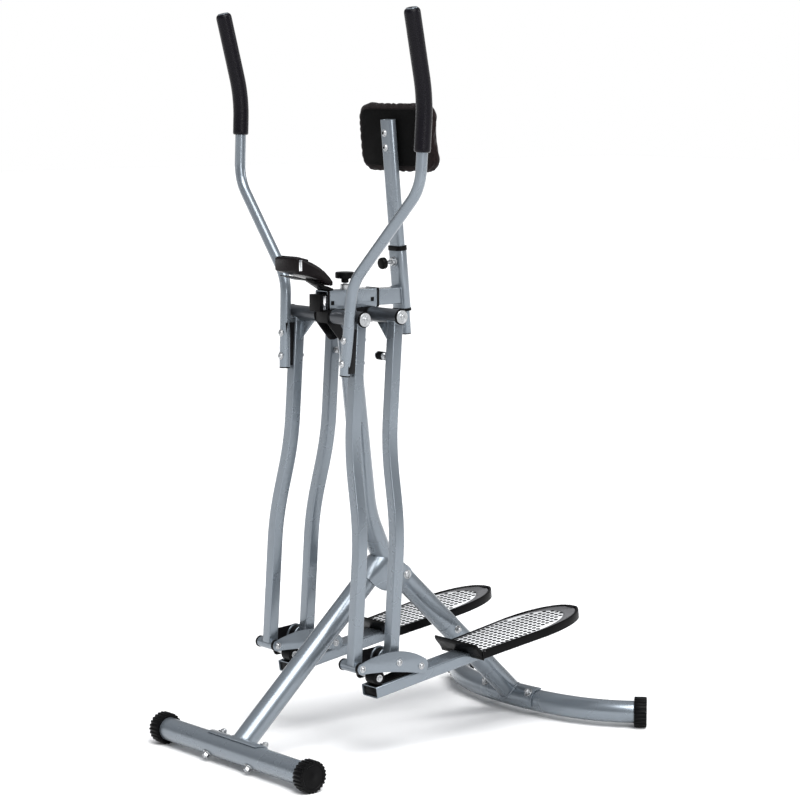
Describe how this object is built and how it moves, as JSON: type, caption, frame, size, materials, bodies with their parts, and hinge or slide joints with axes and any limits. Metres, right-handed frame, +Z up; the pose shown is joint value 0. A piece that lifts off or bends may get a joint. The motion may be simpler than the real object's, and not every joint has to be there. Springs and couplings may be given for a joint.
{
  "type": "elliptical trainer",
  "caption": "Air-walker elliptical trainer with hanging swing legs, folding foot pedals, swinging handlebars, a sliding chest pad and a small console on a tubular steel frame.",
  "frame": {"origin": "on the floor under the middle of the footprint", "axes": "+Z up, the user on the pedals faces -Y, +X is the user's left"},
  "size_m": [0.68, 0.963, 1.5819],
  "materials": {
    "frame_paint": "silver blue-grey metallic paint, glossy",
    "black_paint": "satin black",
    "black_plastic": "satin moulded black",
    "pedal_plastic": "moulded black, lightly textured",
    "tread_plastic": "light grey tread sheet with black rubber dots",
    "zinc_steel": "zinc plated",
    "rubber": "matte black",
    "grip_foam": "fine-grained black foam",
    "pad_fabric": "black upholstery cloth",
    "pad_backing": "matte black board",
    "console_key": "grey moulded key"
  },
  "bodies": {
    "frame": {"front_stabilizer": "frame_paint", "left_front_cap": "black_plastic", "right_front_cap": "black_plastic", "front_leg": "frame_paint", "left_front_bolt": "zinc_steel", "right_front_bolt": "zinc_steel", "rear_stabilizer": "frame_paint", "left_rear_cap": "black_plastic", "right_rear_cap": "black_plastic", "rear_leg": "frame_paint", "left_rear_bolt": "zinc_steel", "right_rear_bolt": "zinc_steel", "hub_bracket": "frame_paint", "hub_bolt": "zinc_steel", "upright_post": "frame_paint", "pivot_bracket": "black_paint", "front_axle": "zinc_steel", "rear_axle": "zinc_steel", "main_beam": "frame_paint", "sensor_housing": "black_plastic", "console_case": "black_plastic", "console_mount": "black_plastic"},
    "beam_knob": {"beam_pull_knob": "black_plastic"},
    "console_key": {"console_button": "console_key"},
    "slider": {"slide_beam": "frame_paint", "pad_sleeve": "frame_paint"},
    "sleeve_knob": {"sleeve_pull_knob": "black_plastic"},
    "pad": {"pad_post": "frame_paint", "pad_board": "pad_backing", "chest_pad": "pad_fabric"},
    "left_front": {"left_front_link": "frame_paint", "left_front_bush": "black_plastic", "left_handlebar": "frame_paint", "left_hand_grip": "grip_foam", "left_handle_saddle": "black_paint"},
    "left_rear": {"left_rear_link": "frame_paint", "left_rear_bush": "black_plastic"},
    "left_bracket": {"left_bracket_outer_plate": "frame_paint", "left_bracket_inner_plate": "black_paint", "left_front_pin": "zinc_steel", "left_rear_pin": "zinc_steel", "left_hinge_pin": "zinc_steel", "left_stop_roller": "rubber"},
    "left_pedal": {"left_pedal_arm": "frame_paint", "left_pedal": "pedal_plastic"},
    "right_front": {"right_front_link": "frame_paint", "right_front_bush": "black_plastic", "right_handlebar": "frame_paint", "right_hand_grip": "grip_foam", "right_handle_saddle": "black_paint"},
    "right_rear": {"right_rear_link": "frame_paint", "right_rear_bush": "black_plastic"},
    "right_bracket": {"right_bracket_outer_plate": "frame_paint", "right_bracket_inner_plate": "black_paint", "right_front_pin": "zinc_steel", "right_rear_pin": "zinc_steel", "right_hinge_pin": "zinc_steel", "right_stop_roller": "rubber"},
    "right_pedal": {"right_pedal_arm": "frame_paint", "right_pedal": "pedal_plastic"}
  },
  "joints": [
    {"name": "left_front_swing", "type": "hinge", "parent": "frame", "child": "left_front", "pos_m": [0.0742, -0.195, 0.938], "axis": [1, 0, 0], "range_deg": [-26, 34]},
    {"name": "left_rear_swing", "type": "hinge", "parent": "frame", "child": "left_rear", "pos_m": [0.0742, -0.095, 0.938], "axis": [1, 0, 0], "range_deg": [-26, 34]},
    {"name": "left_bracket_pivot", "type": "hinge", "parent": "left_front", "child": "left_bracket", "pos_m": [0.147, -0.24297, 0.20998], "axis": [1, 0, 0], "range_deg": [-34, 26]},
    {"name": "left_pedal_fold", "type": "hinge", "parent": "left_bracket", "child": "left_pedal", "pos_m": [0.147, -0.08197, 0.19398], "axis": [1, 0, 0], "range_deg": [0, 70]},
    {"name": "right_front_swing", "type": "hinge", "parent": "frame", "child": "right_front", "pos_m": [-0.0742, -0.195, 0.938], "axis": [1, 0, 0], "range_deg": [-26, 34]},
    {"name": "right_rear_swing", "type": "hinge", "parent": "frame", "child": "right_rear", "pos_m": [-0.0742, -0.095, 0.938], "axis": [1, 0, 0], "range_deg": [-26, 34]},
    {"name": "right_bracket_pivot", "type": "hinge", "parent": "right_front", "child": "right_bracket", "pos_m": [-0.147, -0.24297, 0.20998], "axis": [1, 0, 0], "range_deg": [-34, 26]},
    {"name": "right_pedal_fold", "type": "hinge", "parent": "right_bracket", "child": "right_pedal", "pos_m": [-0.147, -0.08197, 0.19398], "axis": [1, 0, 0], "range_deg": [0, 70]},
    {"name": "beam_slide", "type": "slide", "parent": "frame", "child": "slider", "axis": [0, 1, 0], "range_m": [-0.03, 0.02]},
    {"name": "pad_height", "type": "slide", "parent": "slider", "child": "pad", "axis": [0, -0.0958, 0.9954], "range_m": [-0.1, 0.05]},
    {"name": "beam_knob_pull", "type": "slide", "parent": "frame", "child": "beam_knob", "axis": [0, 0, 1], "range_m": [0, 0.008], "stiffness_N_per_m": 600, "springref_m": -0.003},
    {"name": "sleeve_knob_pull", "type": "slide", "parent": "slider", "child": "sleeve_knob", "axis": [0, -0.9954, -0.0958], "range_m": [0, 0.008], "stiffness_N_per_m": 600, "springref_m": -0.003},
    {"name": "console_key_press", "type": "slide", "parent": "frame", "child": "console_key", "axis": [0, 0.4961, 0.8682], "range_m": [-0.0015, 0], "stiffness_N_per_m": 500, "springref_m": 0.001}
  ],
  "couplings": [
    {"joint": "left_rear_swing", "follows": "left_front_swing", "ratio": 1},
    {"joint": "left_bracket_pivot", "follows": "left_front_swing", "ratio": -1},
    {"joint": "right_rear_swing", "follows": "right_front_swing", "ratio": 1},
    {"joint": "right_bracket_pivot", "follows": "right_front_swing", "ratio": -1}
  ]
}
